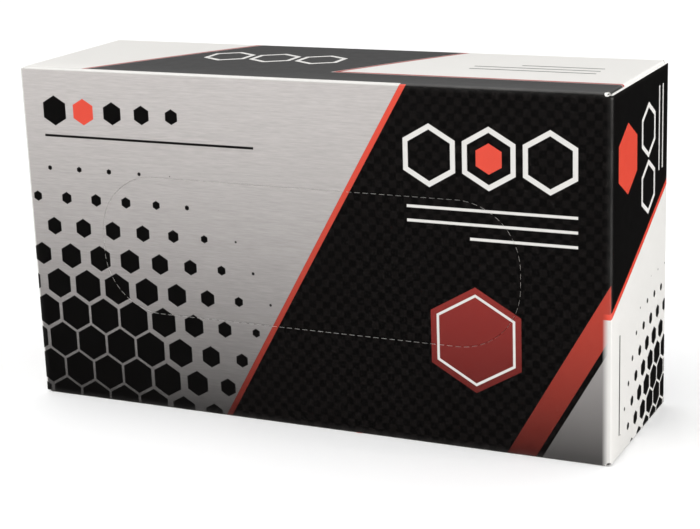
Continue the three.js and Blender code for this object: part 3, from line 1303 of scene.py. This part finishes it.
class CARTON_OT_sleeve(bpy.types.Operator):
    """Make the top, the back, the bottom and the glued seam flap"""

    bl_idname = "carton.sleeve"
    bl_label = "Make sleeve"

    def execute(self, context):
        board = context.scene.carton_board
        add_folded_panel(
            "top_board", "top_panel", UP, FRONT, ("top_print", "front_print"),
            board, bow=board.side_bow,
        )
        add_folded_panel(
            "back_board", "back_panel", BACK, UP, ("back_print", "top_print"),
            board, bow=board.front_bow,
        )
        add_folded_panel(
            "bottom_board", "bottom_panel", DOWN, FRONT, ("bottom_print", "front_print"),
            board,
        )
        add_folded_panel(
            "seam_board", "glue_flap", BACK, DOWN, ("bottom_print", "bottom_print"),
            board, trim=GLUE_FLAP_TRIM,
        )
        return {"FINISHED"}


class CARTON_OT_ends(bpy.types.Operator):
    """Make the four flaps that close each end"""

    bl_idname = "carton.ends"
    bl_label = "Make end flaps"

    def execute(self, context):
        board = context.scene.carton_board
        for side, outward in (("right", RIGHT), ("left", LEFT)):
            add_folded_panel(
                f"{side}_outer_board", f"{side}_outer_flap", outward, FRONT,
                ("end_print", "front_print"), board, bow=board.side_bow,
            )
            add_folded_panel(
                f"{side}_inner_board", f"{side}_inner_flap", outward, BACK,
                ("end_print", "back_print"), board, bow=board.side_bow,
            )
            for level, normal, parent in (
                ("upper", UP, "top_print"), ("lower", DOWN, "bottom_print"),
            ):
                add_folded_panel(
                    f"{side}_{level}_dust_board", f"{side}_{level}_dust_flap", outward, normal,
                    (parent, parent), board, trim=DUST_FLAP_TRIM,
                )
        return {"FINISHED"}


def add_light(name, place, size, watts, glossy):
    """A soft square light, aimed at the carton, that the camera doesn't see.

    The varnish doesn't mirror it where it isn't glossy.
    """
    data = bpy.data.lights.new(name, "AREA")
    data.size = size
    data.energy = watts
    light = bpy.data.objects.new(name, data)
    light.location = place
    light.rotation_mode = "QUATERNION"
    light.rotation_quaternion = (CENTRE - place).to_track_quat("-Z", "Y")
    light.visible_camera = False
    light.visible_glossy = glossy
    bpy.context.scene.collection.objects.link(light)


class CARTON_OT_stage(bpy.types.Operator):
    """Make the pale floor, the soft lights and the camera"""

    bl_idname = "carton.stage"
    bl_label = "Make stage"

    def execute(self, context):
        stage = context.scene.carton_stage
        self.add_floor(context, stage)
        self.add_lights(context, stage)
        self.add_camera(context, stage)
        return {"FINISHED"}

    def add_floor(self, context, stage):
        """A round floor whose rim curves up into a wall."""
        rim_steps = 12
        round_steps = 64
        same_place = 1e-5
        bm = bmesh.new()
        flat = stage.floor_radius
        centre = bm.verts.new((0, 0, 0))
        rim = bm.verts.new((flat, 0, 0))
        bm.edges.new((centre, rim))
        turned = bmesh.ops.spin(
            bm, geom=[rim], cent=(flat, 0, stage.rim_radius), axis=FRONT, angle=QUARTER,
            steps=rim_steps,
        )
        last = parts_of(turned["geom_last"], bmesh.types.BMVert)
        wall = bmesh.ops.extrude_vert_indiv(bm, verts=last)
        bmesh.ops.translate(bm, verts=wall["verts"], vec=(0, 0, stage.wall_height))
        bmesh.ops.spin(
            bm, geom=bm.verts[:] + bm.edges[:], cent=(0, 0, 0), axis=UP, angle=2 * math.pi,
            steps=round_steps, use_merge=True,
        )
        bmesh.ops.remove_doubles(bm, verts=bm.verts[:], dist=same_place)
        bmesh.ops.recalc_face_normals(bm, faces=bm.faces[:])
        mesh = bpy.data.meshes.new("pale_floor")
        bm.to_mesh(mesh)
        bm.free()
        mesh.shade_smooth()
        material = bpy.data.materials.new("pale_floor")
        material.use_nodes = True
        shader = material.node_tree.nodes["Principled BSDF"]
        pale = (0.93, 0.93, 0.93, 1)
        feed(
            material.node_tree, shader,
            {"Base Color": pale, "Roughness": 0.9, "Specular IOR Level": 0.1},
        )
        mesh.materials.append(material)
        floor = bpy.data.objects.new("pale_floor", mesh)
        floor.visible_glossy = False
        context.scene.collection.objects.link(floor)

    def add_lights(self, context, stage):
        """A key light at the right, a wide top light, a fill, and a sky that is dark underneath."""
        for name, place, size, watts, glossy in (
            ("key_light", (2.7, -0.3, 1.35), 1.8, 40, False),
            ("top_light", (-0.9, -0.9, 3.2), 4.0, 38, False),
            ("fill_light", (-2.2, -1.8, 2.0), 2.2, 24, True),
        ):
            add_light(name, Vector(place), size, watts, glossy)
        world = bpy.data.worlds.new("studio")
        world.use_nodes = True
        tree = world.node_tree
        direction = add_node(tree, "ShaderNodeTexCoord").outputs["Generated"]
        height = add_node(tree, "ShaderNodeSeparateXYZ", {0: direction}).outputs[2]
        glow = add_node(
            tree, "ShaderNodeMapRange",
            {"Value": height, "From Min": -0.05, "From Max": 0.8, "To Min": stage.sky_low,
             "To Max": stage.sky_high},
            interpolation_type="SMOOTHSTEP",
        )
        tree.links.new(glow.outputs[0], tree.nodes["Background"].inputs["Strength"])
        tree.nodes["Background"].inputs["Color"].default_value = (1, 1, 1, 1)
        context.scene.world = world

    def add_camera(self, context, stage):
        """The camera of the photo, with no shift."""
        data = bpy.data.cameras.new("camera")
        data.sensor_width = stage.sensor_width
        data.lens = stage.lens
        camera = bpy.data.objects.new("camera", data)
        turned = Matrix.Rotation(stage.heading, 4, "Z")
        turned = turned @ Matrix.Rotation(QUARTER - stage.tilt, 4, "X")
        turned = turned @ Matrix.Rotation(stage.roll, 4, "Z")
        camera.matrix_world = Matrix.Translation(stage.camera_place) @ turned
        context.scene.collection.objects.link(camera)
        context.scene.camera = camera
        context.scene.view_settings.view_transform = "Standard"


class CARTON_PT_sidebar(bpy.types.Panel):
    """Lists the carton's pieces and settings"""

    bl_idname = "CARTON_PT_sidebar"
    bl_label = "Glove dispenser carton"
    bl_space_type = "VIEW_3D"
    bl_region_type = "UI"
    bl_category = "Carton"

    def draw(self, context):
        for operator in OPERATORS:
            self.layout.operator(operator.bl_idname)
        for name, group in SETTINGS:
            settings = getattr(context.scene, name)
            box = self.layout.box()
            box.label(text=group.__doc__)
            for key in group.__annotations__:
                box.prop(settings, key)


SETTINGS = (
    ("carton_board", CartonBoard),
    ("carton_perforation", CartonPerforation),
    ("carton_print", CartonPrint),
    ("carton_stage", CartonStage),
)
OPERATORS = (
    CARTON_OT_materials,
    CARTON_OT_front,
    CARTON_OT_sleeve,
    CARTON_OT_ends,
    CARTON_OT_stage,
)


def register():
    for name, group in SETTINGS:
        bpy.utils.register_class(group)
        setattr(bpy.types.Scene, name, PointerProperty(type=group))
    for operator in OPERATORS:
        bpy.utils.register_class(operator)
    bpy.utils.register_class(CARTON_PT_sidebar)


def unregister():
    bpy.utils.unregister_class(CARTON_PT_sidebar)
    for operator in reversed(OPERATORS):
        bpy.utils.unregister_class(operator)
    for name, group in reversed(SETTINGS):
        delattr(bpy.types.Scene, name)
        bpy.utils.unregister_class(group)


def main():
    """Builds every piece."""
    register()
    bpy.ops.carton.stage()
    bpy.ops.carton.materials()
    bpy.ops.carton.front()
    bpy.ops.carton.sleeve()
    bpy.ops.carton.ends()


if __name__ == "__main__":
    main()
